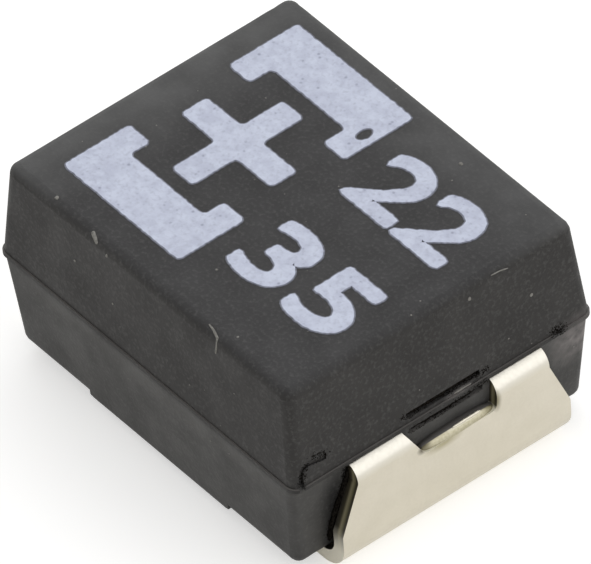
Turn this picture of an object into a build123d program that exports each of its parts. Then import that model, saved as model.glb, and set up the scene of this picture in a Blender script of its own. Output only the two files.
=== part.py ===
from build123d import *

import os
from math import radians, tan

# Moulded tantalum chip capacitor, surface mounted, with two folded terminals.
# Millimetres. X runs along the case from the positive end (-X) to the negative
# end (+X), Y across it, Z up. The origin is the middle of the seating plane,
# which is the plane of the two solder faces.

# Size over everything
overall_length = 3.50       # over the two terminals
overall_height = 1.80       # seating plane to the top of the case

# Case, moulded in two halves that meet on the lead frame
terminal_proud = 0.095      # terminal's outer face beyond the upper half
case_width = 2.70           # at the parting line
parting_height = 0.93       # seating plane to the parting line
upper_draft_end = 5.65      # degrees
upper_draft_side = 4.0
lower_draft_end = 5.9
lower_draft_side = 4.0
lower_step_end = 0.025      # the lower half's ends stand back from the upper ones
upper_corner_radius = 0.085 # upright corners
lower_corner_radius = 0.075
top_edge_radius = 0.080
bottom_edge_radius = 0.070
fin_proud = 0.010           # flash line round the parting
fin_height = 0.030

# Underside: a pad in the middle, with a pocket at each end for a foot
case_standoff = 0.055       # seating plane to the pad
pocket_clearance = 0.175    # foot's inner end to the pocket's inner end
pocket_slope = 0.135        # length of the pocket's sloped inner end

# Lead frame strip and the two terminals cut from it
strip_thickness = 0.11
strip_width = 1.73          # where it leaves the case
foot_width = 2.06
foot_length = 0.80          # from the terminal's outer face
leg_taper_drop = 0.14       # the leg widens from this far below the parting line
leg_taper_bottom = 0.37     # down to this height
top_bend_radius = 0.130     # outer faces
foot_bend_radius = 0.250

# Window in the strip: the notch in the bend, filled with resin inside the case
window_top_width = 0.80     # at the parting line
window_lean_left = 0.13     # how far its -Y side leans inwards, down to its lower edge
window_lean_right = 0.02    # the same for its +Y side
window_height = 0.23        # parting line to its lower edge
window_corner_radius = 0.05
window_depth = 0.33         # from the terminal's outer face inwards
web_setback = 0.085         # terminal's outer face to the resin that fills the window
groove_width = 0.66         # two grooves in that resin, either side of the parting line
groove_depth = 0.045
upper_groove_low = 0.065    # parting line to its lower edge
upper_groove_height = 0.055
lower_groove_high = 0.015   # parting line to its upper edge
lower_groove_height = 0.050

# Crease that the mould vent leaves beside the negative terminal
vent_width = 0.045
vent_depth = 0.030
vent_rise = 0.220           # above the parting line
vent_run = 0.240            # length along the end face
vent_inset = 0.070          # from the side of the case
vent_bend_radius = 0.080

# Sintered pellet, the positive plate, and the room that the case leaves it
anode_room = 0.855          # end of the upper half to the pellet, at the wire
cathode_room = 0.505        # the same at the other end
side_wall = 0.40            # resin beside the pellet, at the parting line
top_wall = 0.27             # resin over the coat
plate_floor = 0.22          # resin under the negative plate
pellet_edge_radius = 0.07
wire_diameter = 0.22
wire_embedded = 0.90        # length inside the pellet
wire_seat = 0.040           # the welded wire sinks this far into the strip
wire_weld_length = 0.33     # length that lies on the strip

# Washer that keeps the coating off the wire
washer_diameter = 0.70
washer_thickness = 0.12

# Conductive coat, the negative plate, on five sides of the pellet
coat_thickness = 0.030
coat_margin = 0.10          # bare pellet left at the wire's end

# Conductive adhesive between the coat and the negative terminal
adhesive_thickness = 0.030
adhesive_margin_end = 0.225     # bare plate left round it
adhesive_margin_side = 0.15
adhesive_corner_radius = 0.15

# Inside ends of the terminals
plate_setback = 0.53            # pellet's wire end to the end of the plate
plate_margin = 0.225            # pellet's side to the plate's side
riser_gap = 0.045               # coat to the riser
riser_bend_radius = 0.100       # middle of the strip
anode_tab_gap = 0.20            # washer to the end of the strip

# Case and window, from the sizes above
case_length = overall_length - 2 * terminal_proud
window_bottom = parting_height - window_height
leg_taper_top = parting_height - leg_taper_drop
strip_mid = parting_height - strip_thickness / 2
leg_x = overall_length / 2 - strip_thickness / 2
reach = 2 * overall_length      # longer than any cut has to be

# The pellet fills the room round the wire, which lies on the strip
wire_height = parting_height + wire_diameter / 2 - wire_seat
pellet_floor = 2 * strip_thickness + plate_floor + adhesive_thickness + coat_thickness
pellet_ceiling = overall_height - top_wall - coat_thickness
pellet_height = 2 * min(wire_height - pellet_floor, pellet_ceiling - wire_height)
pellet_width = case_width - 2 * side_wall
pellet_start = anode_room - case_length / 2
pellet_end = case_length / 2 - cathode_room
pellet_length = pellet_end - pellet_start
pellet_x = (pellet_start + pellet_end) / 2
anode_tab_x = pellet_start - washer_thickness - anode_tab_gap

# The negative plate lies under the pellet, its riser beyond the coat
plate_top = wire_height - pellet_height / 2 - coat_thickness - adhesive_thickness
plate_mid = plate_top - strip_thickness / 2
plate_far = pellet_start + plate_setback
plate_width = pellet_width - 2 * plate_margin
riser_x = pellet_end + coat_thickness + riser_gap + strip_thickness / 2


def plan(length, width, radius, height):
    """Outline of the case at one height."""
    return Plane.XY.offset(height) * RectangleRounded(length, width, radius)


def edges_at(solid, height):
    """Edges that lie flat at one height."""
    return solid.edges().filter_by_position(Axis.Z, height - 1e-4, height + 1e-4)


def side_profile(points):
    """Face through the points, standing in the XZ plane."""
    return Plane.XZ * make_face(Polyline(*points, close=True))


def across(face, width):
    """Face in the XZ plane made solid, evenly to both sides."""
    return extrude(face, amount=width / 2, both=True)


def lower_half(bottom):
    """Lower half of the case, down to one height, with its rounded bottom edge."""
    drop = parting_height - bottom
    at_parting = plan(
        case_length - 2 * lower_step_end,
        case_width,
        lower_corner_radius,
        parting_height,
    )
    at_bottom = plan(
        case_length - 2 * (lower_step_end + drop * tan(radians(lower_draft_end))),
        case_width - 2 * drop * tan(radians(lower_draft_side)),
        lower_corner_radius,
        bottom,
    )
    body = loft([at_bottom, at_parting], ruled=True)
    return fillet(edges_at(body, bottom), bottom_edge_radius)


def upper_half():
    """Upper half of the case, with its top edge rounded."""
    rise = overall_height - parting_height
    at_parting = plan(case_length, case_width, upper_corner_radius, parting_height)
    at_top = plan(
        case_length - 2 * rise * tan(radians(upper_draft_end)),
        case_width - 2 * rise * tan(radians(upper_draft_side)),
        upper_corner_radius,
        overall_height,
    )
    body = loft([at_parting, at_top], ruled=True)
    return fillet(edges_at(body, overall_height), top_edge_radius)


def underside_pad():
    """Middle of the underside, between the two pockets."""
    pocket_end = overall_length / 2 - foot_length - pocket_clearance
    pad_end = pocket_end - pocket_slope
    profile = side_profile(
        [
            (-pad_end, case_standoff),
            (pad_end, case_standoff),
            (pocket_end, strip_thickness),
            (pocket_end, strip_mid),
            (-pocket_end, strip_mid),
            (-pocket_end, strip_thickness),
        ]
    )
    return lower_half(case_standoff) & across(profile, 2 * case_width)


def parting_fin():
    """Thin line of flash where the halves of the mould meet."""
    outline = plan(
        case_length + 2 * fin_proud,
        case_width + 2 * fin_proud,
        upper_corner_radius + fin_proud,
        parting_height,
    )
    return extrude(outline, amount=fin_height)


def window_outline():
    """Window as seen from the end: its sides lean inwards to rounded lower corners."""
    half = window_top_width / 2
    above = (overall_height - parting_height) / window_height
    outline = make_face(
        Polyline(
            (-half + window_lean_left, window_bottom),
            (half - window_lean_right, window_bottom),
            (half + window_lean_right * above, overall_height),
            (-half - window_lean_left * above, overall_height),
            close=True,
        )
    )
    corners = outline.vertices().sort_by(Axis.Y)[:2]
    return fillet(corners, window_corner_radius)


def window_prism(length):
    """Window's outline made solid, from the inside end of the window outwards."""
    start = overall_length / 2 - window_depth
    return extrude(Plane.YZ.offset(start) * window_outline(), amount=length)


def window_web():
    """Resin that fills the strip's window at the negative end."""
    slab = Pos(0, 0, parting_height - window_height) * Box(
        2 * reach, 2 * window_top_width, 2 * window_height
    )
    return window_prism(window_depth - web_setback) & slab


def groove(face_x, low, height):
    """Level groove in the resin of the end, cut inwards from one of its faces."""
    return Pos(face_x, 0, low + height / 2) * Box(2 * groove_depth, groove_width, height)


def window_grooves():
    """Both grooves, which leave a narrow ridge along the parting line."""
    upper = groove(
        case_length / 2, parting_height + upper_groove_low, upper_groove_height
    )
    lower = groove(
        overall_length / 2 - web_setback,
        parting_height - lower_groove_high - lower_groove_height,
        lower_groove_height,
    )
    return upper + lower


def vent_crease():
    """Bent crease at the corner of the end face, beside the terminal."""
    side = -(case_width / 2 - vent_inset)
    line = FilletPolyline(
        (side, parting_height - 2 * fin_height),
        (side, parting_height + vent_rise),
        (side + vent_run, parting_height + vent_rise - vent_width),
        radius=vent_bend_radius,
    )
    mark = Plane.YZ.offset(case_length / 2 - vent_depth) * trace(line, vent_width)
    return extrude(mark, amount=reach)


def strip_solid(points, radii):
    """Folded strip of full foot width, from the middle line of its side view."""
    line = Plane.XZ * FilletPolyline(*points, radius=radii)
    ribbon = trace(Plane.XZ.to_local_coords(line), strip_thickness)
    return across(Plane.XZ * ribbon, foot_width)


def leg_trim():
    """What is cut off each side of the leg, so that it widens downwards."""
    outline = [
        (strip_width / 2, overall_height),
        (strip_width / 2, leg_taper_top),
        (foot_width / 2, leg_taper_bottom),
        (foot_width, leg_taper_bottom),
        (foot_width, overall_height),
    ]
    side = extrude(Plane.YZ * make_face(Polyline(*outline, close=True)), amount=reach)
    return side + side.mirror(Plane.XZ)


def trim_sides(end_x, width):
    """What is cut off the sides of the strip inside the case, up to a station."""
    bottom = plate_mid - strip_thickness
    room = Pos(end_x - reach / 2, 0, bottom + reach / 2) * Box(reach, reach, reach)
    return room - Box(2 * reach, width, 2 * reach)


def terminal_outside(inner_points, inner_radii):
    """Terminal at the +X end: strip, top bend, widening leg, bend and foot."""
    points = inner_points + [
        (leg_x, strip_mid),
        (leg_x, strip_thickness / 2),
        (overall_length / 2 - foot_length, strip_thickness / 2),
    ]
    radii = inner_radii + [
        top_bend_radius - strip_thickness / 2,
        foot_bend_radius - strip_thickness / 2,
    ]
    return strip_solid(points, radii) - leg_trim() - window_prism(reach)


# Wire and pellet
wire_start = anode_tab_x - wire_weld_length
wire_end = pellet_start + wire_embedded
wire = Pos((wire_start + wire_end) / 2, 0, wire_height) * Cylinder(
    wire_diameter / 2, wire_end - wire_start, rotation=(0, 90, 0)
)
pellet_block = fillet(
    (Pos(pellet_x, 0, wire_height) * Box(pellet_length, pellet_width, pellet_height))
    .edges(),
    pellet_edge_radius,
)
pellet = pellet_block - wire

# Coat: the pellet's form, grown by its thickness and open at the wire's end
coat_block = fillet(
    (
        Pos(pellet_x, 0, wire_height)
        * Box(
            pellet_length + 2 * coat_thickness,
            pellet_width + 2 * coat_thickness,
            pellet_height + 2 * coat_thickness,
        )
    ).edges(),
    pellet_edge_radius + coat_thickness,
)
coat_open = Pos(pellet_start + coat_margin - reach / 2, 0, wire_height) * Box(
    reach, reach, reach
)
coat = coat_block - pellet_block - coat_open

# Washer on the wire, against the bare end of the pellet
washer_x = pellet_start - washer_thickness / 2
washer = (
    Pos(washer_x, 0, wire_height)
    * Cylinder(washer_diameter / 2, washer_thickness, rotation=(0, 90, 0))
) - wire

# Negative terminal, with the riser and the plate under the pellet
riser_radius = min(riser_bend_radius, (strip_mid - plate_mid) / 2.2)
cathode = terminal_outside(
    [(plate_far, plate_mid), (riser_x, plate_mid), (riser_x, strip_mid)],
    [riser_radius, riser_radius],
)
cathode = cathode - trim_sides(riser_x + strip_thickness, strip_width)
cathode = cathode - trim_sides(riser_x - strip_thickness, plate_width)

# Adhesive between the plate and the coat
adhesive = Pos((plate_far + riser_x) / 2, 0, plate_top) * extrude(
    RectangleRounded(
        riser_x - plate_far - 2 * adhesive_margin_end,
        plate_width - 2 * adhesive_margin_side,
        adhesive_corner_radius,
    ),
    amount=adhesive_thickness,
)

# Positive terminal, the same outside, with a short tab that the wire is welded to
anode = terminal_outside([(-anode_tab_x, strip_mid)], []).mirror(Plane.YZ) - wire

# Case: both halves, then the room that the pieces inside take up
case = upper_half() + lower_half(strip_thickness) + underside_pad() + parting_fin()
case = case + window_web() + window_web().mirror(Plane.YZ)
case = case - window_grooves() - window_grooves().mirror(Plane.YZ) - vent_crease()
for piece in (coat_block - coat_open, pellet_block, wire, washer, adhesive):
    case = case - piece
case = case - cathode - anode

nodes = {
    "case": case,
    "cathode_terminal": cathode,
    "anode_terminal": anode,
    "tantalum_pellet": pellet,
    "tantalum_wire": wire,
    "wire_washer": washer,
    "cathode_coat": coat,
    "adhesive_pad": adhesive,
}

os.makedirs("parts", exist_ok=True)
for name, shape in nodes.items():
    export_step(shape, f"parts/{name}.step")
    print(name, len(shape.solids()), round(shape.volume, 5))
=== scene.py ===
"""Looks of a moulded tantalum chip capacitor, built round its solids.

The solids keep their meshes and get the finish of the real materials. The print on
the top and the small marks that the surface carries are pieces of their own."""

import math
import random

import bpy
from mathutils import Matrix, Vector
from mathutils.bvhtree import BVHTree


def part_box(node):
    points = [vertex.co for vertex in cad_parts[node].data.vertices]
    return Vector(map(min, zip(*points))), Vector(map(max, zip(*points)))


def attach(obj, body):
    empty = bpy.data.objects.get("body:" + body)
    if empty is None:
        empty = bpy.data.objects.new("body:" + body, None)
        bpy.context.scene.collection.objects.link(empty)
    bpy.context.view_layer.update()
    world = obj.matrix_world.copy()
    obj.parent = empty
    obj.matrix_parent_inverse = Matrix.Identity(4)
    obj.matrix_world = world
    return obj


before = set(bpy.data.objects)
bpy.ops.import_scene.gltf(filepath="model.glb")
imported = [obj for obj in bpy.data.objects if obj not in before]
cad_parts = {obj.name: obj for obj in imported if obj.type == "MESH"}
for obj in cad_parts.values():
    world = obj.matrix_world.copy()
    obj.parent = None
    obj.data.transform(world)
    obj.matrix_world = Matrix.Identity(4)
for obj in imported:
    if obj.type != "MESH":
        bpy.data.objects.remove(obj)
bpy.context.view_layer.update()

bl_info = {
    "name": "Tantalum chip capacitor",
    "version": (1, 0, 0),
    "blender": (4, 5, 0),
    "location": "3D View > Sidebar > Capacitor",
    "description": "Finishes a moulded tantalum chip capacitor and sets its stage",
    "category": "Object",
}

MM = 0.001
BODY = "root"
CASE_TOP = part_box("case")[1].z
CASE_MIDDLE = (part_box("case")[0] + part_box("case")[1]) / 2
TERMINALS = ("cathode_terminal", "anode_terminal")


def linear(hex_code):
    """Linear red, green and blue of an sRGB hex colour."""
    channels = [int(hex_code[i : i + 2], 16) / 255 for i in (1, 3, 5)]
    return [c / 12.92 if c <= 0.04045 else ((c + 0.055) / 1.055) ** 2.4 for c in channels]


def rgba(color):
    """Colour with full alpha, as a socket takes it."""
    return (*color, 1.0)


# Sizes and colours that a user would change

class CaseProperties(bpy.types.PropertyGroup):
    """Finish of the moulded case."""

    resin: bpy.props.FloatVectorProperty(
        name="Resin", description="Colour of the filled epoxy", subtype="COLOR",
        default=linear("#2C2B2B"),
    )
    # The lower half is painted paler than the upper half, all round.
    lower_half_tone: bpy.props.FloatVectorProperty(
        name="Lower skin", description="Colour of the lower half, which left a smoother mould",
        subtype="COLOR", default=linear("#403F3D"),
    )
    rubbed: bpy.props.FloatVectorProperty(
        name="Rubbed", description="Colour where handling rubbed the top paler",
        subtype="COLOR", default=linear("#5C5C5B"),
    )
    # Painted shade: the upper half's sides are painted darker and warmer than its top.
    side: bpy.props.FloatVectorProperty(
        name="Side", description="Colour of the upper half's sides", subtype="COLOR",
        default=linear("#242220"),
    )
    grain: bpy.props.FloatProperty(
        name="Grain", description="Width of one pit of the spark-eroded mould",
        unit="LENGTH", default=0.030 * MM,
    )
    grain_depth: bpy.props.FloatProperty(
        name="Grain depth", description="Depth of the pits", unit="LENGTH",
        default=0.0030 * MM,
    )
    parting: bpy.props.FloatProperty(
        name="Parting line", description="Height of the parting line", unit="LENGTH",
        default=0.93 * MM,
    )


class TerminalProperties(bpy.types.PropertyGroup):
    """Finish of the two terminals."""

    tin: bpy.props.FloatVectorProperty(
        name="Tin", description="Colour of the matte tin plate", subtype="COLOR",
        default=linear("#CFC9BA"),
    )
    # Painted pale, against the shade on the edges near the foot.
    cut_edge: bpy.props.FloatVectorProperty(
        name="Cut edge", description="Colour of the sheared edges near the foot",
        subtype="COLOR", default=linear("#E6E0CC"),
    )
    outer: bpy.props.FloatProperty(
        name="Outer face", description="Middle of the part to the leg's outer face",
        unit="LENGTH", default=1.75 * MM,
    )
    inner: bpy.props.FloatProperty(
        name="Inner face", description="Middle of the part to the leg's inner face",
        unit="LENGTH", default=1.64 * MM,
    )
    crystal: bpy.props.FloatProperty(
        name="Crystal", description="Width of one patch of the tin plate",
        unit="LENGTH", default=0.025 * MM,
    )


class PrintProperties(bpy.types.PropertyGroup):
    """Ink on the top of the case."""

    ink: bpy.props.FloatVectorProperty(
        name="Ink", description="Colour of the ink", subtype="COLOR",
        default=linear("#D3D9EA"),
    )
    fringe: bpy.props.FloatVectorProperty(
        name="Fringe", description="Colour of the ink's thin edge", subtype="COLOR",
        default=linear("#8A8D9A"),
    )
    fringe_width: bpy.props.FloatProperty(
        name="Fringe width", description="Width of the ink's thin edge", unit="LENGTH",
        default=0.009 * MM,
    )
    value: bpy.props.StringProperty(
        name="Value", description="Numerals of the upper row", default="22"
    )
    voltage: bpy.props.StringProperty(
        name="Voltage", description="Numerals of the lower row", default="35"
    )
    film: bpy.props.FloatProperty(
        name="Film", description="Thickness of the ink", unit="LENGTH", default=0.006 * MM
    )
    ragged: bpy.props.FloatProperty(
        name="Ragged edge", description="How far the ink's edge wanders", unit="LENGTH",
        default=0.006 * MM,
    )


class MarkProperties(bpy.types.PropertyGroup):
    """Dust and scratches."""

    pale: bpy.props.FloatVectorProperty(
        name="Pale", description="Colour of dust and scratches", subtype="COLOR",
        default=linear("#93918B"),
    )
    count: bpy.props.IntProperty(
        name="Dust", description="Grains of dust scattered over the case", default=60
    )
    seed: bpy.props.IntProperty(name="Seed", description="Start of the draws", default=7)


class StageProperties(bpy.types.PropertyGroup):
    """Camera, floor and light."""

    azimuth: bpy.props.FloatProperty(
        name="Azimuth", description="Camera's bearing round the part", subtype="ANGLE",
        default=math.radians(54.028),
    )
    elevation: bpy.props.FloatProperty(
        name="Elevation", description="Camera's height over the horizon", subtype="ANGLE",
        default=math.radians(44.251),
    )
    roll: bpy.props.FloatProperty(
        name="Roll", description="Turn of the camera about its own line of sight",
        subtype="ANGLE", default=math.radians(-4.394),
    )
    distance: bpy.props.FloatProperty(
        name="Distance", description="Camera to the part", unit="LENGTH",
        default=150.0 * MM,
    )
    frame_width: bpy.props.FloatProperty(
        name="Frame width", description="Width of the view at the part", unit="LENGTH",
        default=4.1522 * MM,
    )
    floor: bpy.props.FloatVectorProperty(
        name="Floor", description="Colour of the floor", subtype="COLOR",
        default=linear("#E8E7E4"),
    )


# Small tools

def find(sockets, key):
    """Socket by its identifier, or else by its name or number."""
    named = {s.identifier: s for s in sockets}
    return named[key] if key in named else sockets[key]


def add(tree, kind, settings=None, links=None):
    """Adds a node, with its attributes or input values, and what its inputs are linked to."""
    node = tree.nodes.new(kind)
    for key, value in (settings or {}).items():
        if isinstance(key, str) and hasattr(node, key):
            setattr(node, key, value)
        else:
            find(node.inputs, key).default_value = value
    for key, source in (links or {}).items():
        tree.links.new(source, find(node.inputs, key))
    return node


def sort_inputs(settings, pairs):
    """Settings with the plain values among some inputs added, and the sockets as links."""
    links = {}
    for key, value in pairs.items():
        if isinstance(value, bpy.types.NodeSocket):
            links[key] = value
        elif value is not None:
            settings[key] = value
    return settings, links


def blank_material(name):
    """Material with its node tree, its main shader and the place on the object."""
    material = bpy.data.materials.new(name)
    material.use_nodes = True
    tree = material.node_tree
    place = add(tree, "ShaderNodeTexCoord")
    return material, tree, tree.nodes["Principled BSDF"], place


def feed(tree, shader, **inputs):
    """Sets a shader's inputs, each to a plain value or a socket, with _ for a space."""
    for key, value in inputs.items():
        target = shader.inputs[key.replace("_", " ")]
        if isinstance(value, bpy.types.NodeSocket):
            tree.links.new(value, target)
        else:
            target.default_value = value


def blend_color(tree, factor, first, second):
    """Mix of two colours, each a hex code, a colour or a socket, by a factor socket."""
    pairs = {"Factor_Float": factor}
    for key, value in (("A_Color", first), ("B_Color", second)):
        if isinstance(value, str):
            value = linear(value)
        pairs[key] = value if isinstance(value, bpy.types.NodeSocket) else rgba(value)
    node = add(tree, "ShaderNodeMix", *sort_inputs({"data_type": "RGBA"}, pairs))
    return find(node.outputs, "Result_Color")


def spread(tree, value, low, high, to_low=0.0, to_high=1.0):
    """Value of a socket, stretched from one range to another and kept inside it."""
    return add(
        tree,
        "ShaderNodeMapRange",
        {"From Min": low, "From Max": high, "To Min": to_low, "To Max": to_high},
        {"Value": value},
    ).outputs["Result"]


def band(tree, place, ends, origin=0.0, strength=1.0):
    """Mask that grows from 0 to its strength between two ends, in millimetres."""
    start, end = ends
    return spread(tree, place, origin + start * MM, origin + end * MM, 0.0, strength)


def two_tone(tree, pattern, first, second, low=0.3, high=0.7):
    """Mix of two colours that follows a pattern."""
    return blend_color(tree, spread(tree, pattern, low, high), first, second)


def noise(tree, place, width, detail=2.0, roughness=0.5):
    """Smooth noise with patches about so wide, in metres."""
    return add(
        tree,
        "ShaderNodeTexNoise",
        {"Scale": 1 / width, "Detail": detail, "Roughness": roughness},
        {"Vector": place},
    ).outputs[0]


def relief(tree, height, depth):
    """Normal of a surface that a pattern roughens, to a depth in metres."""
    return add(
        tree, "ShaderNodeBump", {"Strength": 1.0, "Distance": depth}, {"Height": height}
    ).outputs["Normal"]


def split(tree, source):
    """X, Y and Z of a vector."""
    return add(tree, "ShaderNodeSeparateXYZ", links={"Vector": source}).outputs


def math_node(tree, operation, first, second):
    """Result of one sum, each side a number or a socket."""
    pairs = {"Value": first, "Value_001": second}
    return add(tree, "ShaderNodeMath", *sort_inputs({"operation": operation}, pairs)).outputs[0]


def product(tree, first, *others):
    """Product of numbers and sockets."""
    for other in others:
        first = math_node(tree, "MULTIPLY", first, other)
    return first


def largest(tree, first, *others):
    """Whichever number or socket is largest."""
    for other in others:
        first = math_node(tree, "MAXIMUM", first, other)
    return first


def vector(tree, operation, first, second=None, scale=None):
    """Result of one vector sum, each side a vector or a socket."""
    pairs = {"Vector": first, "Vector_001": second, "Scale": scale}
    node = add(tree, "ShaderNodeVectorMath", *sort_inputs({"operation": operation}, pairs))
    return node.outputs["Value" if operation == "LENGTH" else "Vector"]


def spot(tree, place, centre, reach):
    """1 round a place in millimetres, fading to 0 at its reach to each side."""
    near = vector(tree, "SUBTRACT", place, [c * MM for c in centre])
    near = vector(tree, "DIVIDE", near, [r * MM for r in reach])
    return spread(tree, vector(tree, "LENGTH", near), 1.0, 0.2)


def with_shade_spots(tree, where, color, spots):
    """Colour with spots of painted shade on it."""
    for centre, reach, tone in spots:
        color = blend_color(tree, spot(tree, where, centre, reach), color, tone)
    return color


def dress(node_name, material):
    """Gives a solid its finish."""
    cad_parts[node_name].material_slots[0].material = material


# Bands of the case, in millimetres from the parting line or from the top: start and end
LOWER_HALF_BAND = (0.0, -0.06)
UNDER_FLASH_LIGHT = (-0.25, -0.03)
FLASH = (0.08, 0.04)
RUBBED_TOP = (-0.06, -0.01)
# The same from the middle of the case, towards its far end and its far side
RUBBED_END = (-0.90, -1.60)
RUBBED_SIDE = (0.60, 1.40)

# Painted shade and painted light on the case, in millimetres: centre and reach to each side
PAINTED_SHADE_SPOTS = [
    ((1.63, 0.00, 1.015), (0.10, 0.42, 0.050)),
    ((1.65, 0.04, 0.895), (0.10, 0.37, 0.050)),
    ((1.60, -0.98, 0.600), (0.10, 0.13, 0.450)),
    ((1.64, -1.268, 0.985), (0.07, 0.045, 0.085)),
    ((1.64, -1.222, 1.095), (0.07, 0.050, 0.055)),
    ((1.64, -1.120, 1.145), (0.07, 0.090, 0.035)),
    ((1.66, 1.035, 0.955), (0.07, 0.085, 0.035)),
]
# Painted light: a highlight on the window's ridge, and a patch of light on the lower end face
# towards +Y
PAINTED_LIGHT_SPOTS = [
    ((1.66, 0.13, 0.975), (0.05, 0.14, 0.030)),
    ((1.62, 1.230, 0.760), (0.15, 0.30, 0.300)),
]

# Bands of the terminals, in millimetres above the seating plane: start and end
FOOT_EDGE = (0.42, 0.20)
BELOW_WINDOW = (0.770, 0.752)
ABOVE_LEG = (0.60, 0.65)
BEND = (0.80, 0.87)
# Tones across the sheared edge, from the leg's inner face (0) to its outer face (1); the dark ones
# are partly painted shade, darkest at the inner side by the gap beside the case
SHADED_INNER_TONE, OUTER_TONE = "#17130C", "#3C3624"
TONES_BETWEEN = ((0.34, "#332E1E"), (0.54, "#8A8368"), (0.70, "#6E684D"), (0.84, "#2E2A1B"))

# Painted shade on the terminal under the window and at its corners, and on the window's lip, with a
# painted highlight on the lip, in millimetres: centre, reach and tone
TIN_PAINTED_SHADE = [
    ((1.75, -0.100, 0.690), (0.05, 0.200, 0.060), "#A8A187"),
    ((1.72, -0.285, 0.745), (0.10, 0.060, 0.050), "#3A3420"),
    ((1.72, 0.385, 0.780), (0.10, 0.050, 0.120), "#6A6448"),
]
LIP_PAINTED_SHADE = [
    ((1.69, -0.250, 0.740), (0.10, 0.080, 0.070), "#4A4430"),
    ((1.69, 0.350, 0.750), (0.10, 0.100, 0.080), "#6A6448"),
]
# Painted highlight on the lip
LIP_PAINTED_HIGHLIGHT = ((1.72, 0.110, 0.750), (0.10, 0.180, 0.10))


# Materials

def moulded_epoxy(look):
    """Epoxy with mineral filler, transfer moulded in a spark-eroded tool.

    The eye sees a dull near-black with fine pits, clouds of a slightly different
    tone, a few pale grains of filler, and edges that handling has rubbed paler."""
    material, tree, shader, place = blank_material("moulded_epoxy")
    where = place.outputs["Object"]
    along, across, height = split(tree, where)
    level = spread(tree, split(tree, place.outputs["Normal"])["Z"], 0.3, 0.9)
    pits = noise(tree, where, look.grain, detail=3.0, roughness=0.6)
    clouds = noise(tree, where, 0.30 * MM, detail=3.0)
    patch_noise = noise(tree, where, 0.07 * MM, detail=3.0)

    # The upper half's sides are painted darker and warmer than its top, as painted shade. The lower
    # half is painted paler than the upper half, all round.
    skin = blend_color(tree, level, look.side, look.resin)
    lower = band(tree, height, LOWER_HALF_BAND, look.parting)
    skin = blend_color(tree, lower, skin, look.lower_half_tone)
    # Painted light: just under the flash the lower half is painted paler still, fading downwards.
    under_flash_light = band(tree, height, UNDER_FLASH_LIGHT, look.parting, 0.2)
    skin = blend_color(tree, product(tree, under_flash_light, lower), skin, "#6A6865")
    # Painted light: upward faces at the flash and below it are painted pale, against their shadow
    # and dark reflection.
    flash = band(tree, height, FLASH, look.parting)
    skin = blend_color(tree, product(tree, flash, level), skin, "#6C6966")

    # Paler where the top was rubbed, towards its far edges
    rubbed = largest(
        tree,
        band(tree, along, RUBBED_END, strength=0.9),
        band(tree, across, RUBBED_SIDE, strength=0.7),
    )
    rubbed = product(tree, rubbed, band(tree, height, RUBBED_TOP, CASE_TOP))
    skin = blend_color(tree, rubbed, skin, look.rubbed)
    # Painted light: the ridge highlight and the lit patch on the lower end, broken up by noise.
    patchy = spread(tree, patch_noise, 0.2, 0.7)
    for centre, reach in PAINTED_LIGHT_SPOTS:
        pale = product(tree, spot(tree, where, centre, reach), patchy)
        skin = blend_color(tree, pale, skin, "#8C8684")

    # Painted shade: dark in the window's grooves, in the creases at the near corner and in the
    # recesses beside the terminal
    shade_mask = largest(tree, *[spot(tree, where, *mark) for mark in PAINTED_SHADE_SPOTS])
    skin = blend_color(tree, product(tree, shade_mask, 0.85), skin, "#0C0B0B")

    skin = blend_color(tree, spread(tree, clouds, 0.35, 0.65, 0.0, 0.25), skin, "#1C1B1B")
    skin = blend_color(tree, spread(tree, pits, 0.50, 0.78, 0.0, 0.45), skin, "#5A5957")
    feed(
        tree,
        shader,
        Base_Color=skin,
        Roughness=spread(tree, clouds, 0.3, 0.7, 0.54, 0.66),
        Normal=relief(tree, pits, look.grain_depth),
        Specular_IOR_Level=0.35,
    )
    return material


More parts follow.
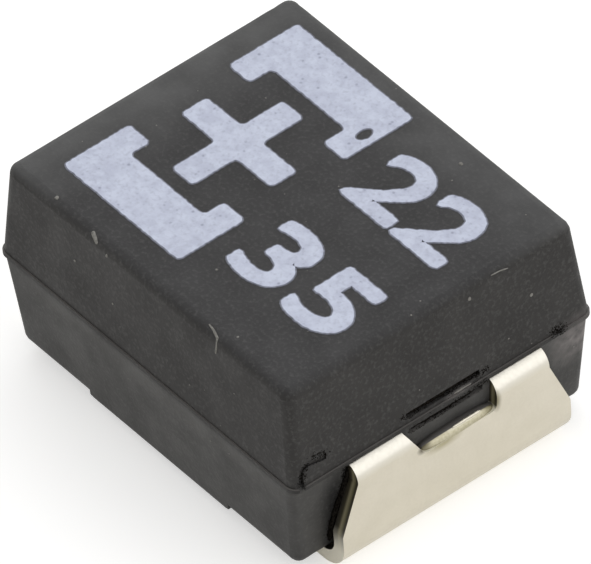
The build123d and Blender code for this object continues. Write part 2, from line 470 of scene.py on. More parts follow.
def matte_tin(look):
    """Matte tin, electroplated on a stamped nickel-iron strip.

    The eye sees a soft warm grey metal with fine crystal patches. The sheared edges are duller,
    with a burnished olive band towards the outside; their dark inner side is painted shade, and
    near the foot they are painted pale against their shade. The bend is painted paler and greyer as
    a painted highlight, the window's lower cut edge near-white as a painted highlight, and the
    window's corners darker as painted shade."""
    material, tree, shader, place = blank_material("matte_tin")
    where = place.outputs["Object"]
    crystals = noise(tree, where, look.crystal)
    clouds = noise(tree, where, 0.20 * MM, detail=4.0)
    along, _, height = split(tree, where)
    facing = split(tree, place.outputs["Normal"])

    # The sheared edges face sideways
    edge = spread(tree, math_node(tree, "ABSOLUTE", facing["Y"], 0.0), 0.45, 0.75)
    # Across the sheared edge the tones are partly painted shade, darkest at the inner side by the
    # gap beside the case. Near the foot the edge is painted pale against its shade.
    out = math_node(tree, "ABSOLUTE", along, 0.0)
    depth = spread(tree, out, look.inner, look.outer)
    sheared = add(tree, "ShaderNodeValToRGB", links={"Fac": depth})
    tones = sheared.color_ramp.elements
    tones[0].color = rgba(linear(SHADED_INNER_TONE))
    tones[1].color = rgba(linear(OUTER_TONE))
    for share, tone in TONES_BETWEEN:
        tones.new(share).color = rgba(linear(tone))
    low = band(tree, height, FOOT_EDGE)
    cut = blend_color(tree, low, sheared.outputs["Color"], look.cut_edge)

    # The window's lower edge was cut too, and faces up. It is painted near-white as a painted
    # highlight, and is dull.
    upwards = product(
        tree,
        spread(tree, facing["Z"], 0.4, 0.8),
        band(tree, height, BELOW_WINDOW),
        band(tree, height, ABOVE_LEG),
    )
    plate = blend_color(tree, spread(tree, clouds, 0.35, 0.65, 0.0, 0.45), look.tin, "#C6C0B0")
    # Painted highlight: the bend is painted paler and greyer, to the colour of its highlight.
    plate = blend_color(tree, band(tree, height, BEND, strength=0.7), plate, "#D2CFC7")
    # Painted shade under the window and at its corners.
    plate = with_shade_spots(tree, where, plate, TIN_PAINTED_SHADE)
    color = blend_color(tree, edge, plate, cut)
    color = blend_color(tree, upwards, color, "#EDE8D4")
    dull = product(tree, largest(tree, edge, upwards), 0.9)
    feed(
        tree,
        shader,
        Base_Color=color,
        Metallic=math_node(tree, "SUBTRACT", 1.0, dull),
        Roughness=spread(tree, crystals, 0.3, 0.7, 0.32, 0.44),
        Normal=relief(tree, crystals, 0.0008 * MM),
    )
    return material


def cut_tin():
    """The same plated strip where the punch tore it: an olive lip, rough and dull.

    A skin of resin lies over its upper side. Below that a painted highlight runs along it; its
    olive tones are partly painted shade, and its ends are painted darker as shade."""
    material, tree, shader, place = blank_material("cut_tin")
    where = place.outputs["Object"]
    outwards = split(tree, place.outputs["Normal"])["X"]
    tears = noise(tree, where, 0.020 * MM, detail=3.0)
    color = two_tone(tree, tears, "#BAB49E", "#A8A28A")
    painted_highlight = product(
        tree,
        spread(tree, outwards, 0.76, 0.66),
        spot(tree, where, *LIP_PAINTED_HIGHLIGHT),
        spread(tree, tears, 0.35, 0.50, 0.5, 1.0),
    )
    # Painted highlight along the middle of the lip, broken up by noise.
    color = blend_color(tree, painted_highlight, color, "#F2EEDC")
    # Painted shade at the lip's ends.
    color = with_shade_spots(tree, where, color, LIP_PAINTED_SHADE)
    skin = spread(tree, outwards, 0.52, 0.44)
    feed(
        tree,
        shader,
        Base_Color=blend_color(tree, skin, color, "#4C4946"),
        Metallic=math_node(tree, "SUBTRACT", 1.0, largest(tree, skin, painted_highlight)),
        Roughness=0.5,
    )
    return material


def stamped_ink(look):
    """Epoxy marking ink, stamped on with a pad.

    The eye sees a chalky bluish white, a little blotchy, thin enough for the grain
    of the resin to show through as faint grey specks, with small pocks where a pit
    of the resin stayed bare."""
    material, tree, shader, place = blank_material("stamped_ink")
    where = place.outputs["Object"]
    thin = noise(tree, where, 0.030 * MM, detail=3.0)
    clouds = noise(tree, where, 0.080 * MM, detail=3.0)
    color = two_tone(tree, clouds, look.ink, "#C3C8DA", 0.35, 0.65)
    color = blend_color(tree, spread(tree, thin, 0.50, 0.75, 0.0, 0.45), color, "#A4A8B8")
    pocks = add(tree, "ShaderNodeTexVoronoi", {"Scale": 1 / (0.065 * MM)}, {"Vector": where})
    bare = product(
        tree,
        spread(tree, pocks.outputs["Distance"], 0.24, 0.08, 0.0, 0.55),
        spread(tree, clouds, 0.50, 0.58),
    )
    feed(
        tree,
        shader,
        Base_Color=blend_color(tree, bare, color, "#7C8196"),
        Roughness=0.6,
        Normal=relief(tree, thin, 0.0015 * MM),
    )
    return material


def ink_fringe(look):
    """The same ink where it ran out thin at its edge: grey, with the resin showing through."""
    material, tree, shader, place = blank_material("ink_fringe")
    patches = noise(tree, place.outputs["Object"], 0.020 * MM)
    color = two_tone(tree, patches, look.fringe, "#5E606B")
    feed(tree, shader, Base_Color=color, Roughness=0.6)
    return material


def sintered_tantalum():
    """Tantalum powder, pressed and sintered, with its oxide and dark electrolyte.

    The eye sees a dull charcoal sponge of fine grains."""
    material, tree, shader, place = blank_material("sintered_tantalum")
    grains = noise(tree, place.outputs["Object"], 0.020 * MM, detail=4.0, roughness=0.7)
    color = two_tone(tree, grains, "#2C2C2F", "#5C5B60")
    bumps = relief(tree, grains, 0.004 * MM)
    feed(tree, shader, Base_Color=color, Metallic=0.6, Roughness=0.8, Normal=bumps)
    return material


def drawn_tantalum():
    """Tantalum wire, drawn through a die: bluish grey, with fine lines along it."""
    material, tree, shader, place = blank_material("drawn_tantalum")
    along = add(
        tree, "ShaderNodeMapping", {"Scale": (0.02, 1.0, 1.0)}, {"Vector": place.outputs["Object"]}
    ).outputs[0]
    lines = noise(tree, along, 0.010 * MM)
    color = two_tone(tree, lines, "#8C8C92", "#A4A4AA")
    rough = spread(tree, lines, 0.3, 0.7, 0.28, 0.40)
    feed(tree, shader, Base_Color=color, Metallic=1.0, Roughness=rough)
    return material


def pressed_fluoropolymer():
    """Fluoropolymer, pressed and punched: waxy milk white."""
    material, tree, shader, place = blank_material("pressed_fluoropolymer")
    clouds = noise(tree, place.outputs["Object"], 0.12 * MM)
    color = two_tone(tree, clouds, "#ECEBE7", "#DDDCD7")
    feed(tree, shader, Base_Color=color, Roughness=0.42)
    feed(tree, shader, Subsurface_Weight=0.3, Subsurface_Scale=0.05 * MM)
    return material


def dipped_silver():
    """Silver paint over graphite, dipped and cured: dull pale metal with runs."""
    material, tree, shader, place = blank_material("dipped_silver")
    runs = noise(tree, place.outputs["Object"], 0.09 * MM, detail=4.0)
    color = two_tone(tree, runs, "#A6A5A0", "#C4C3BE")
    rough = spread(tree, runs, 0.3, 0.7, 0.45, 0.65)
    bumps = relief(tree, runs, 0.003 * MM)
    feed(tree, shader, Base_Color=color, Metallic=0.8, Roughness=rough, Normal=bumps)
    return material


def silver_adhesive():
    """Epoxy filled with silver flake, dispensed and cured: grey, finely glittering."""
    material, tree, shader, place = blank_material("silver_adhesive")
    where = place.outputs["Object"]
    flakes = add(tree, "ShaderNodeTexVoronoi", {"Scale": 1 / (0.012 * MM)}, {"Vector": where})
    bright = split(tree, flakes.outputs["Color"])["X"]
    color = blend_color(tree, bright, "#8B8A86", "#BDBCB6")
    rough = spread(tree, bright, 0.0, 1.0, 0.35, 0.7)
    feed(tree, shader, Base_Color=color, Metallic=0.5, Roughness=rough)
    return material


def painted_shade_crumbs():
    """Black crumbs of painted shade, laid in the hollows and gaps where shade falls: a dead black,
    no shine.
    """
    material, tree, shader, place = blank_material("painted_shade_crumbs")
    crumbs = noise(tree, place.outputs["Object"], 0.015 * MM, detail=3.0)
    color = two_tone(tree, crumbs, "#0E0C0A", "#2A2723", 0.4, 0.7)
    feed(tree, shader, Base_Color=color, Roughness=1.0, Specular_IOR_Level=0.0)
    return material


def dust_and_sheen(look):
    """Fine pale dust and resin rubbed pale, also laid as a painted highlight along the window's
    ridge: dull, a little uneven in tone.
    """
    material, tree, shader, place = blank_material("dust_and_sheen")
    patches = noise(tree, place.outputs["Object"], 0.02 * MM)
    color = two_tone(tree, patches, look.pale, "#6F6D68")
    feed(tree, shader, Base_Color=color, Roughness=0.9)
    return material


# Geometry Nodes

def new_tree(name, **inputs):
    """Geometry tree with its inputs, named by kind, and its input and output nodes."""
    tree = bpy.data.node_groups.new(name, "GeometryNodeTree")
    tree.interface.new_socket(name="Geometry", in_out="INPUT", socket_type="NodeSocketGeometry")
    for kind, titles in inputs.items():
        for title in titles:
            tree.interface.new_socket(
                name=title, in_out="INPUT", socket_type="NodeSocket" + kind
            )
    tree.interface.new_socket(name="Geometry", in_out="OUTPUT", socket_type="NodeSocketGeometry")
    return tree, add(tree, "NodeGroupInput"), add(tree, "NodeGroupOutput")


def grow(name, mesh, tree, values):
    """Plain mesh that a tree makes of a mesh, as an object that rides on the part."""
    piece = bpy.data.objects.new(name, mesh)
    bpy.context.scene.collection.objects.link(piece)
    modifier = piece.modifiers.new("Nodes", "NODES")
    modifier.node_group = tree
    for item in tree.interface.items_tree:
        if item.in_out == "INPUT" and item.name in values:
            modifier[item.identifier] = values[item.name]
    graph = bpy.context.evaluated_depsgraph_get()
    finished = bpy.data.meshes.new_from_object(piece.evaluated_get(graph))
    piece.modifiers.remove(modifier)
    while finished.materials and finished.materials[0] is None:
        finished.materials.pop(index=0)
    piece.data = finished
    finished.name = name
    bpy.data.meshes.remove(mesh)
    finished.transform(Matrix.Scale(MM, 4))
    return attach(piece, BODY)


def even_points(tree, curve, spacing):
    """Curve with its points at even distances."""
    return add(
        tree,
        "GeometryNodeResampleCurve",
        {"mode": "LENGTH"},
        {"Curve": curve.outputs[0], "Length": spacing},
    )


def step(tree, kind, shape, **links):
    """Shape put through one more node, whose other inputs are named."""
    return add(tree, kind, links={"Geometry": shape.outputs[0], **links})


def shift(tree, shape, offset):
    """Shape with each of its points moved."""
    return step(tree, "GeometryNodeSetPosition", shape, Offset=offset)


def join(tree, shapes):
    """Shapes joined into one."""
    joined = add(tree, "GeometryNodeJoinGeometry")
    for shape in shapes:
        tree.links.new(shape.outputs[0], joined.inputs[0])
    return joined


def upright(tree, height):
    """Vector that points up by a height."""
    return add(tree, "ShaderNodeCombineXYZ", links={"Z": height}).outputs[0]


def ink_tree():
    """Ink film, in millimetres: outlines and numerals with soft corners and ragged edges.

    Outer loops run anticlockwise and holes clockwise, so that outwards is to the right."""
    tree, given, result = new_tree(
        "ink_film",
        String=["Numerals"],
        Vector=["Field Corner", "Field Size"],
        Float=[
            "Weight", "Corner Radius", "Point Spacing", "Ragged Edge", "Edge Grain",
            "Fringe Width", "Film", "Height",
        ],
        Int=["Seed"],
        Material=["Ink", "Fringe"],
    )
    ask = given.outputs
    place = add(tree, "GeometryNodeInputPosition").outputs[0]

    # Numerals, stretched to fill their field less the weight that is added all round
    text = add(tree, "GeometryNodeStringToCurves", {"Size": 1.0}, {"String": ask["Numerals"]})
    glyphs = step(tree, "GeometryNodeRealizeInstances", text)
    box = add(
        tree, "GeometryNodeBoundBox", {"Use Radius": False}, {"Geometry": glyphs.outputs[0]}
    )
    both_weights = vector(tree, "SCALE", (2, 2, 0), scale=ask["Weight"])
    room = vector(tree, "SUBTRACT", ask["Field Size"], both_weights)
    extent = vector(tree, "SUBTRACT", box.outputs["Max"], box.outputs["Min"])
    stretch = vector(tree, "DIVIDE", room, extent)
    one_weight = vector(tree, "SCALE", (1, 1, 0), scale=ask["Weight"])
    corner = vector(tree, "ADD", ask["Field Corner"], one_weight)
    from_corner = vector(tree, "SUBTRACT", place, box.outputs["Min"])
    fitted = vector(tree, "ADD", corner, vector(tree, "MULTIPLY", stretch, from_corner))
    numerals = step(tree, "GeometryNodeSetPosition", glyphs, Position=fitted)
    numerals = even_points(tree, numerals, ask["Point Spacing"])
    tangent = add(tree, "GeometryNodeInputTangent").outputs[0]
    outwards = vector(tree, "CROSS_PRODUCT", tangent, (0, 0, 1))
    bold = shift(tree, numerals, vector(tree, "SCALE", outwards, scale=ask["Weight"]))

    # Outlines drawn as edges, with rounded corners
    drawn = add(tree, "GeometryNodeMeshToCurve", links={"Mesh": ask["Geometry"]})
    drawn = add(
        tree,
        "GeometryNodeFilletCurve",
        {"mode": "POLY", "Count": 5, "Limit Radius": True},
        {"Curve": drawn.outputs[0], "Radius": ask["Corner Radius"]},
    )
    drawn = even_points(tree, drawn, ask["Point Spacing"])
    outlines = join(tree, (bold, drawn))

    # Ragged edge
    grain = add(
        tree,
        "ShaderNodeTexNoise",
        {"noise_dimensions": "4D", "Detail": 2.0},
        {"Vector": place, "W": ask["Seed"], "Scale": ask["Edge Grain"]},
    )
    wander = vector(tree, "SUBTRACT", grain.outputs["Color"], (0.5, 0.5, 0.5))
    wander = vector(tree, "MULTIPLY", wander, (4, 4, 0))
    ragged = shift(tree, outlines, vector(tree, "SCALE", wander, scale=ask["Ragged Edge"]))

    # The thin fringe reaches further out than the full film, which lies over it
    layers = []
    for share, finish, thickness in ((0.7, "Fringe", 0.6), (-0.5, "Ink", 1.0)):
        growth = product(tree, ask["Fringe Width"], share)
        outline = shift(tree, ragged, vector(tree, "SCALE", outwards, scale=growth))
        base = add(tree, "GeometryNodeFillCurve", links={"Curve": outline.outputs[0]})
        lift = upright(tree, product(tree, ask["Film"], thickness))
        top = add(
            tree,
            "GeometryNodeExtrudeMesh",
            {"Individual": False},
            {"Mesh": base.outputs[0], "Offset": lift},
        )
        under = add(tree, "GeometryNodeFlipFaces", links={"Mesh": base.outputs[0]})
        film = join(tree, (top, under))
        closed = add(
            tree, "GeometryNodeMergeByDistance", {"Distance": 0.0001}, {"Geometry": film.outputs[0]}
        )
        layers.append(step(tree, "GeometryNodeSetMaterial", closed, Material=ask[finish]))
    height = upright(tree, ask["Height"])
    raised = step(tree, "GeometryNodeTransform", join(tree, layers), Translation=height)
    solid = step(tree, "GeometryNodeRealizeInstances", raised)
    tree.links.new(solid.outputs[0], result.inputs[0])
    return tree


def grain_tree():
    """Grains of dust, and black crumbs of painted shade, in millimetres: each lies on the surface
    at its own point.
    """
    tree, given, result = new_tree(
        "dust_grains",
        Float=["Flatness", "Lumps"],
        Int=["Detail", "Seed"],
        Material=["Finish"],
    )
    ask = given.outputs
    facing, width = [
        add(tree, "GeometryNodeInputNamedAttribute", {"data_type": kind, "Name": name}).outputs[0]
        for name, kind in (("facing", "FLOAT_VECTOR"), ("width", "FLOAT"))
    ]
    turn = add(tree, "FunctionNodeAlignRotationToVector", {"axis": "Z"}, {"Vector": facing})
    shape = add(
        tree,
        "FunctionNodeRandomValue",
        {"data_type": "FLOAT_VECTOR", "Min": (0.6, 0.6, 1.0), "Max": (1.0, 1.0, 1.0)},
        {"Seed": ask["Seed"]},
    ).outputs[0]
    flat = add(
        tree, "ShaderNodeCombineXYZ", {"X": 1.0, "Y": 1.0}, {"Z": ask["Flatness"]}
    ).outputs[0]
    size = vector(tree, "SCALE", vector(tree, "MULTIPLY", shape, flat), scale=width)
    lump = add(
        tree, "GeometryNodeMeshIcoSphere", {"Radius": 0.5}, {"Subdivisions": ask["Detail"]}
    )
    dots = add(tree, "GeometryNodeMeshToPoints", links={"Mesh": ask["Geometry"]})
    grains = add(
        tree,
        "GeometryNodeInstanceOnPoints",
        links={
            "Points": dots.outputs[0],
            "Instance": lump.outputs[0],
            "Rotation": turn.outputs[0],
            "Scale": size,
        },
    )
    grains = step(tree, "GeometryNodeRealizeInstances", grains)
    place = add(tree, "GeometryNodeInputPosition").outputs[0]
    rough = add(tree, "ShaderNodeTexNoise", {"Scale": 60.0}, {"Vector": place}).outputs["Color"]
    push = vector(tree, "SUBTRACT", rough, (0.5, 0.5, 0.5))
    lumpy = shift(tree, grains, vector(tree, "SCALE", push, scale=ask["Lumps"]))
    smooth = step(tree, "GeometryNodeSetShadeSmooth", lumpy)
    finished = step(tree, "GeometryNodeSetMaterial", smooth, Material=ask["Finish"])
    tree.links.new(finished.outputs[0], result.inputs[0])
    return tree


def thread_tree():
    """Thin ridge along a path, in millimetres, uneven in width and pointed at its ends."""
    tree, given, result = new_tree(
        "thin_ridge",
        Float=["Point Spacing", "Radius", "Unevenness"],
        Material=["Finish"],
    )
    ask = given.outputs
    path = add(tree, "GeometryNodeMeshToCurve", links={"Mesh": ask["Geometry"]})
    path = even_points(tree, path, ask["Point Spacing"])
    along = add(tree, "GeometryNodeSplineParameter").outputs["Factor"]
    place = add(tree, "GeometryNodeInputPosition").outputs[0]
    uneven = add(tree, "ShaderNodeTexNoise", {"Scale": 25.0}, {"Vector": place}).outputs[0]
    bulge = math_node(tree, "SINE", product(tree, along, math.pi), 0.0)
    bulge = math_node(tree, "POWER", bulge, 0.25)
    sway = product(tree, math_node(tree, "SUBTRACT", uneven, 0.5), ask["Unevenness"])
    sway = math_node(tree, "ADD", sway, 1.0)
    ring = add(tree, "GeometryNodeCurvePrimitiveCircle", {"Resolution": 8, "Radius": 1.0})
    ridge = add(
        tree,
        "GeometryNodeCurveToMesh",
        {"Fill Caps": True},
        {
            "Curve": path.outputs[0],
            "Profile Curve": ring.outputs[0],
            "Scale": product(tree, bulge, sway, ask["Radius"]),
        },
    )
    smooth = step(tree, "GeometryNodeSetShadeSmooth", ridge)
    finished = step(tree, "GeometryNodeSetMaterial", smooth, Material=ask["Finish"])
    tree.links.new(finished.outputs[0], result.inputs[0])
    return tree


# Shapes on the top, in millimetres

BAR_LEFT, BAR_RIGHT = -1.289, 0.008
LEG_WIDTH = 0.240
UPPER_BAR = (0.700, 1.126, 0.495)     # inner edge, outer edge, end of the legs
LOWER_BAR = (-0.579, -1.000, -0.396)
PLUS_ACROSS = (-1.136, -0.124, -0.058, 0.181)
PLUS_UP = (-0.749, -0.512, -0.4545, 0.5565)
PINHOLE = (-0.097, 0.765, 0.045, 0.073)    # centre and half sizes
VALUE_FIELD = (0.214, 0.266, 1.078, 0.628)    # corner and size
VOLTAGE_FIELD = (0.199, -0.774, 1.129, 0.644)


def bracket(bar):
    """Bar with a short leg at each end, as a loop of points."""
    inner, outer, tip = bar
    return [
        (BAR_LEFT, outer),
        (BAR_RIGHT, outer),
        (BAR_RIGHT, tip),
        (BAR_RIGHT - LEG_WIDTH, tip),
        (BAR_RIGHT - LEG_WIDTH, inner),
        (BAR_LEFT + LEG_WIDTH, inner),
        (BAR_LEFT + LEG_WIDTH, tip),
        (BAR_LEFT, tip),
    ]


def plus_sign():
    """Plus sign as a loop of points."""
    left, right, low, high = PLUS_ACROSS
    near, far, bottom, top = PLUS_UP
    return [
        (left, low), (near, low), (near, bottom), (far, bottom), (far, low), (right, low),
        (right, high), (far, high), (far, top), (near, top), (near, high), (left, high),
    ]


def oval(shape, count=16):
    """Oval as a loop of points."""
    x, y, half_x, half_y = shape
    turns = [2 * math.pi * i / count for i in range(count)]
    return [(x + half_x * math.cos(t), y + half_y * math.sin(t)) for t in turns]


def loops_mesh(name, loops):
    """Mesh with only the edges of some closed loops."""
    points, edges = [], []
    for loop in loops:
        start = len(points)
        points += [(x, y, 0.0) for x, y in loop]
        edges += [(start + i, start + (i + 1) % len(loop)) for i in range(len(loop))]
    mesh = bpy.data.meshes.new(name)
    mesh.from_pydata(points, edges, [])
    return mesh


def path_mesh(name, paths):
    """Mesh with only the edges of some open paths."""
    points, edges = [], []
    for path in paths:
        start = len(points)
        points += path
        edges += [(start + i, start + i + 1) for i in range(len(path) - 1)]
    mesh = bpy.data.meshes.new(name)
    mesh.from_pydata(points, edges, [])
    return mesh


# Operators

class CAPACITOR_OT_case(bpy.types.Operator):
    """Give the case its moulded resin"""

    bl_idname = "capacitor.case"
    bl_label = "Finish the case"

    def execute(self, context):
        dress("case", moulded_epoxy(context.scene.capacitor_case))
        return {"FINISHED"}


class CAPACITOR_OT_terminals(bpy.types.Operator):
    """Give both terminals their tin plate"""

    bl_idname = "capacitor.terminals"
    bl_label = "Finish the terminals"

    def execute(self, context):
        tin = matte_tin(context.scene.capacitor_terminals)
        for name in TERMINALS:
            dress(name, tin)
        return {"FINISHED"}


class CAPACITOR_OT_inside(bpy.types.Operator):
    """Give the sealed pieces their materials"""

    bl_idname = "capacitor.inside"
    bl_label = "Finish the inside"

    def execute(self, context):
        dress("tantalum_pellet", sintered_tantalum())
        dress("tantalum_wire", drawn_tantalum())
        dress("wire_washer", pressed_fluoropolymer())
        dress("cathode_coat", dipped_silver())
        dress("adhesive_pad", silver_adhesive())
        return {"FINISHED"}


class CAPACITOR_OT_print(bpy.types.Operator):
    """Print the polarity mark and the numerals on the top"""

    bl_idname = "capacitor.print"
    bl_label = "Print the top"

    def execute(self, context):
        look = context.scene.capacitor_print
        tree = ink_tree()
        ink = stamped_ink(look)
        fringe = ink_fringe(look)
        marks = [
            bracket(UPPER_BAR)[::-1],
            bracket(LOWER_BAR),
            plus_sign(),
            oval(PINHOLE)[::-1],
        ]
        rows = [
            ("polarity_mark", marks, "", (0, 0, 1, 1), 3),
            ("value_numerals", [], look.value, VALUE_FIELD, 5),
            ("voltage_numerals", [], look.voltage, VOLTAGE_FIELD, 8),
        ]
        bite = 0.002
        for name, loops, text, field, seed in rows:
            piece = grow(
                name,
                loops_mesh(name, loops),
                tree,
                {
                    "Numerals": text,
                    "Field Corner": (field[0], field[1], 0.0),
                    "Field Size": (field[2], field[3], 0.0),
                    "Weight": 0.028,
                    "Corner Radius": 0.040,
                    "Point Spacing": 0.012,
                    "Ragged Edge": look.ragged / MM,
                    "Edge Grain": 24.0,
                    "Fringe Width": look.fringe_width / MM,
                    "Film": look.film / MM + bite,
                    "Height": CASE_TOP / MM - bite,
                    "Seed": seed,
                    "Ink": ink,
                    "Fringe": fringe,
                },
            )
        return {"FINISHED"}


# Widths of the smallest and the largest grain, in millimetres
DUST_WIDTHS = (0.008, 0.018)
CRUMB_WIDTHS = (0.006, 0.013)
# How far a ray that drops a grain may pass from the middle, along X, Y and Z
SCATTER = (1.2, 1.0, 0.5)

# Grains of dust that show, in millimetres: where they lie, and their width
SEEN_DUST = [
    ((-1.060, -1.233, 1.798), 0.040),
    ((-0.431, -1.294, 1.726), 0.030),
    ((-0.792, -1.315, 1.429), 0.022),
    ((-0.367, -1.323, 1.320), 0.020),
    ((0.259, -0.856, 1.800), 0.022),
    ((0.878, -1.167, 1.800), 0.022),
    ((0.586, 1.081, 1.800), 0.040),
    ((1.580, 0.334, 1.690), 0.036),
    ((1.608, 0.853, 1.407), 0.034),
]

# Paths of the threads, and of the black ridges of painted shade laid behind them, in millimetres
FIBRE = [
    (0.639, -1.234, 1.797),
    (0.706, -1.246, 1.794),
    (0.776, -1.268, 1.781),
    (0.795, -1.297, 1.717),
    (0.784, -1.301, 1.653),
]
SMEAR = [(-0.637, -1.250, 1.790), (-0.592, -1.269, 1.777), (-0.540, -1.286, 1.750)]
SCRATCH = [(1.563, 0.543, 1.765), (1.566, 0.623, 1.762), (1.573, 0.697, 1.748)]
# Painted highlight: a pale strip along the window's ridge
RIDGE_HIGHLIGHT = [(1.650, 0.090, 0.973), (1.650, 0.170, 0.975), (1.650, 0.250, 0.973)]
LIP = [(1.693, -0.280, 0.702), (1.693, 0.050, 0.701), (1.693, 0.385, 0.704)]
BURR = [(1.724, 0.00, 0.753), (1.724, 0.13, 0.756), (1.722, 0.26, 0.754)]
# Painted shade: black ridges along the window's two grooves
GROOVE_SHADE = [
    [(1.612, -0.33, 1.020), (1.610, 0.33, 1.020)],
    [(1.628, -0.33, 0.890), (1.628, 0.33, 0.890)],
]

# Painted shade in the window's grooves, the creases and the gaps beside the leg, in millimetres: a
# path, how far it spreads, and its number of crumbs
SHADE_PATHS = [
    (
        [(1.64, -0.37, 1.030), (1.62, -0.20, 1.022), (1.62, 0.31, 1.000), (1.64, 0.40, 1.020)],
        0.015,
        800,
    ),
    (
        [(1.65, -0.31, 0.905), (1.63, 0.00, 0.885), (1.65, 0.15, 0.905), (1.66, 0.38, 0.930)],
        0.017,
        800,
    ),
    ([(1.625, -1.200, 1.125), (1.640, -1.244, 1.076), (1.625, -1.275, 0.965)], 0.014, 220),
    ([(1.628, -1.160, 1.170), (1.633, -1.088, 1.153), (1.636, -1.040, 1.120)], 0.020, 130),
    ([(1.650, 0.990, 0.975), (1.650, 1.080, 0.955)], 0.028, 240),
    ([(1.645, -0.840, 0.910), (1.640, -0.868, 0.860), (1.615, -0.885, 0.700)], 0.016, 320),
    (
        [(1.607, -0.873, 0.720), (1.594, -0.916, 0.577), (1.578, -0.965, 0.426),
         (1.560, -1.000, 0.250)],
        0.020,
        900,
    ),
]
# Painted shade along the gap between the leg and the case
LEG_GAP_SHADE = [
    (1.640, -0.862, 0.880),
    (1.632, -0.868, 0.800),
    (1.618, -0.915, 0.640),
    (1.600, -0.975, 0.470),
    (1.590, -1.005, 0.350),
    (1.560, -1.015, 0.200),
]


def case_surface():
    """Tree of the case's faces, in millimetres, for laying things on it."""
    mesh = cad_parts["case"].data
    points = [v.co / MM for v in mesh.vertices]
    faces = [tuple(p.vertices) for p in mesh.polygons]
    return BVHTree.FromPolygons(points, faces)


def scattered_dust(surface, count, seed):
    """Places on the outside of the case, each with a width, drawn at random."""
    draw = random.Random(seed)
    middle = CASE_MIDDLE / MM
    far = 10.0
    places = []
    while len(places) < count:
        aim = Vector((draw.gauss(0, 1), draw.gauss(0, 1), abs(draw.gauss(0, 1))))
        aim.normalize()
        start = middle + aim * far
        start += Vector([draw.uniform(-reach, reach) for reach in SCATTER])
        hit = surface.ray_cast(start, -aim)[0]
        width = draw.uniform(*DUST_WIDTHS)
        if hit is not None:
            places.append((tuple(hit), width))
    return places


def strewn_shade(surface, marks, seed):
    """Places on the case with a width for each crumb, thickest along each mark's path."""
    draw = random.Random(seed)
    places = []
    for path, reach, count in marks:
        steps = list(zip(path, path[1:]))
        lengths = [math.dist(start, end) for start, end in steps]
        for crumb in range(count):
            start, end = draw.choices(steps, lengths)[0]
            point = Vector(start).lerp(Vector(end), draw.random())
            point += Vector([draw.gauss(0, reach) for axis in range(3)])
            nearest = surface.find_nearest(point)[0]
            places.append((tuple(nearest), draw.uniform(*CRUMB_WIDTHS)))
    return places


class CAPACITOR_OT_marks(bpy.types.Operator):
    """Add the dust, the black crumbs of painted shade, the fibre, the scratch, the painted ridge
    highlight and the window's lip
    """

    bl_idname = "capacitor.marks"
    bl_label = "Add the small marks"

    def execute(self, context):
        look = context.scene.capacitor_marks
        surface = case_surface()
        dust, shade_grains = dust_and_sheen(look), painted_shade_crumbs()
        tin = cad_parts[TERMINALS[0]].material_slots[0].material
        grains = grain_tree()
        for name, places, detail, finish in (
            ("dust", SEEN_DUST + scattered_dust(surface, look.count, look.seed), 3, dust),
            ("shade_grains", strewn_shade(surface, SHADE_PATHS, look.seed), 1, shade_grains),
        ):
            mesh = bpy.data.meshes.new(name)
            mesh.from_pydata([place for place, width in places], [], [])
            mesh.attributes.new("facing", "FLOAT_VECTOR", "POINT")
            mesh.attributes.new("width", "FLOAT", "POINT")
            for i, (place, width) in enumerate(places):
                normal = surface.find_nearest(Vector(place))[1]
                mesh.attributes["facing"].data[i].vector = normal
                mesh.attributes["width"].data[i].value = width
            settings = {"Flatness": 0.45, "Lumps": 0.008, "Detail": detail, "Seed": look.seed}
            piece = grow(name, mesh, grains, {**settings, "Finish": finish})

        thread = thread_tree()
        far_side = [(x, -y, z) for x, y, z in LEG_GAP_SHADE]
        for name, paths, radius, unevenness, finish, slot in (
            ("fibre", [FIBRE], 0.010, 1.0, dust, "case"),
            ("smear", [SMEAR], 0.016, 1.0, dust, "case"),
            ("scratch", [SCRATCH], 0.005, 1.0, dust, "case"),
            # Painted highlight along the window's ridge
            ("painted_ridge_highlight", [RIDGE_HIGHLIGHT], 0.008, 1.6, dust, "case"),
            ("window_lip", [LIP], 0.060, 0.1, cut_tin(), TERMINALS[0]),
            ("window_burr", [BURR], 0.012, 1.5, tin, TERMINALS[0]),
            # Painted shade in the grooves and along the gap beside the leg
            ("painted_groove_shade", GROOVE_SHADE, 0.024, 1.0, shade_grains, "case"),
            ("painted_leg_gap_shade", [LEG_GAP_SHADE, far_side], 0.024, 1.0, shade_grains, "case"),
        ):
            settings = {"Point Spacing": 0.01, "Radius": radius, "Unevenness": unevenness}
            piece = grow(name, path_mesh(name, paths), thread, {**settings, "Finish": finish})
        return {"FINISHED"}


def lamp(name, place, size, power, color):
    """Square area lamp that looks at the part."""
    light = bpy.data.lights.new(name, "AREA")
    light.size = size
    light.energy = power
    light.color = color
    piece = bpy.data.objects.new(name, light)
    bpy.context.scene.collection.objects.link(piece)
    piece.location = place
    piece.rotation_mode = "QUATERNION"
    piece.rotation_quaternion = (CASE_MIDDLE - Vector(place)).to_track_quat("-Z", "Y")
    piece.visible_camera = False
    return piece


def shows_background(tree):
    """1 for rays that see the background: from the camera, by reflection, through glass."""
    path = add(tree, "ShaderNodeLightPath")
    kinds = ("Is Camera Ray", "Is Glossy Ray", "Is Transmission Ray")
    return largest(tree, *[path.outputs[kind] for kind in kinds])


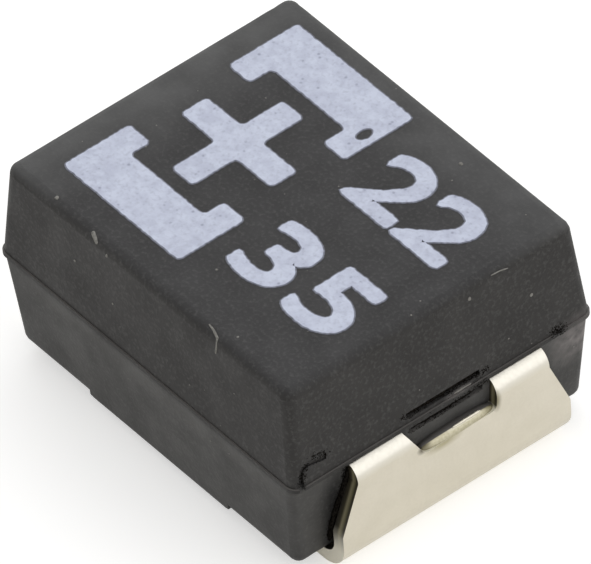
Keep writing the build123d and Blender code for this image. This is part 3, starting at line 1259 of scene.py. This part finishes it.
class CAPACITOR_OT_stage(bpy.types.Operator):
    """Set the camera, the floor and the light"""

    bl_idname = "capacitor.stage"
    bl_label = "Set the stage"

    def execute(self, context):
        look = context.scene.capacitor_stage
        scene = context.scene
        scene.view_settings.view_transform = "Standard"
        self.make_floor(look)
        self.make_world(scene)
        self.make_lamps()
        self.make_camera(scene, look)
        return {"FINISHED"}

    def make_floor(self, look):
        """Pale floor that goes white for the camera and keeps the part's shadow."""
        # A hair under the feet, so that no two faces lie in one plane
        reach, below = 0.5, -0.002 * MM
        corners = [(-reach, -reach), (reach, -reach), (reach, reach), (-reach, reach)]
        mesh = bpy.data.meshes.new("floor")
        mesh.from_pydata([(x, y, below) for x, y in corners], [], [(0, 1, 2, 3)])
        floor = bpy.data.objects.new("floor", mesh)
        bpy.context.scene.collection.objects.link(floor)
        material, tree, shader, _ = blank_material("pale_floor")
        feed(tree, shader, Base_Color=rgba(look.floor), Roughness=1.0, Specular_IOR_Level=0.0)
        glow = product(tree, shows_background(tree), 0.50)
        feed(tree, shader, Emission_Color=(1, 1, 1, 1), Emission_Strength=glow)
        mesh.materials.append(material)

    def make_world(self, scene):
        """White surroundings."""
        world = bpy.data.worlds.new("white_room")
        world.use_nodes = True
        tree = world.node_tree
        background = tree.nodes["Background"]
        background.inputs["Color"].default_value = (1, 1, 1, 1)
        strength = spread(tree, shows_background(tree), 0.0, 1.0, 0.55, 1.0)
        tree.links.new(strength, background.inputs["Strength"])
        scene.world = world

    def make_lamps(self):
        """Two large soft lamps, one above and behind, one high over the terminal's end."""
        lamp("key", (-0.060, 0.050, 0.120), 0.12, 0.050, linear("#F7F9FF"))
        lamp("end", (0.100, 0.060, 0.080), 0.16, 0.060, (1, 1, 1))

    def make_camera(self, scene, look):
        """Long lens at the angle of the reference view."""
        data = bpy.data.cameras.new("camera")
        camera = bpy.data.objects.new("camera", data)
        scene.collection.objects.link(camera)
        a, e, r = look.azimuth, look.elevation, look.roll
        back = Vector((math.sin(a) * math.cos(e), -math.cos(a) * math.cos(e), math.sin(e)))
        level = Vector((math.cos(a), math.sin(a), 0.0))
        upright = back.cross(level)
        right = level * math.cos(r) + upright * math.sin(r)
        up = upright * math.cos(r) - level * math.sin(r)
        height, sideways, downwards = 0.95 * MM, 0.0014 * MM, 0.0155 * MM
        aim = Vector((0, 0, height)) + right * sideways - up * downwards
        stand = aim + back * look.distance
        turn = Matrix((right, up, back)).transposed().to_4x4()
        camera.matrix_world = Matrix.Translation(stand) @ turn
        data.lens = data.sensor_width * look.distance / look.frame_width
        data.clip_start = 0.1 * look.distance
        data.clip_end = 10 * look.distance
        scene.camera = camera


class CAPACITOR_PT_panel(bpy.types.Panel):
    """Lists the steps that finish the capacitor"""

    bl_idname = "CAPACITOR_PT_panel"
    bl_label = "Capacitor"
    bl_space_type = "VIEW_3D"
    bl_region_type = "UI"
    bl_category = "Capacitor"

    def draw(self, context):
        for operator in OPERATORS:
            self.layout.operator(operator.bl_idname)
        for name in SETTINGS:
            box = self.layout.box()
            group = getattr(context.scene, name)
            for key in group.__annotations__:
                box.prop(group, key)


SETTINGS = {
    "capacitor_case": CaseProperties,
    "capacitor_terminals": TerminalProperties,
    "capacitor_print": PrintProperties,
    "capacitor_marks": MarkProperties,
    "capacitor_stage": StageProperties,
}
OPERATORS = (
    CAPACITOR_OT_case,
    CAPACITOR_OT_terminals,
    CAPACITOR_OT_inside,
    CAPACITOR_OT_print,
    CAPACITOR_OT_marks,
    CAPACITOR_OT_stage,
)


def register():
    for kind in (*SETTINGS.values(), *OPERATORS, CAPACITOR_PT_panel):
        bpy.utils.register_class(kind)
    for name, kind in SETTINGS.items():
        setattr(bpy.types.Scene, name, bpy.props.PointerProperty(type=kind))


def unregister():
    for name in SETTINGS:
        delattr(bpy.types.Scene, name)
    for kind in reversed((*SETTINGS.values(), *OPERATORS, CAPACITOR_PT_panel)):
        bpy.utils.unregister_class(kind)


def main():
    """Runs each step once."""
    register()
    for step in ("case", "terminals", "inside", "print", "marks", "stage"):
        getattr(bpy.ops.capacitor, step)()


if __name__ == "__main__":
    main()
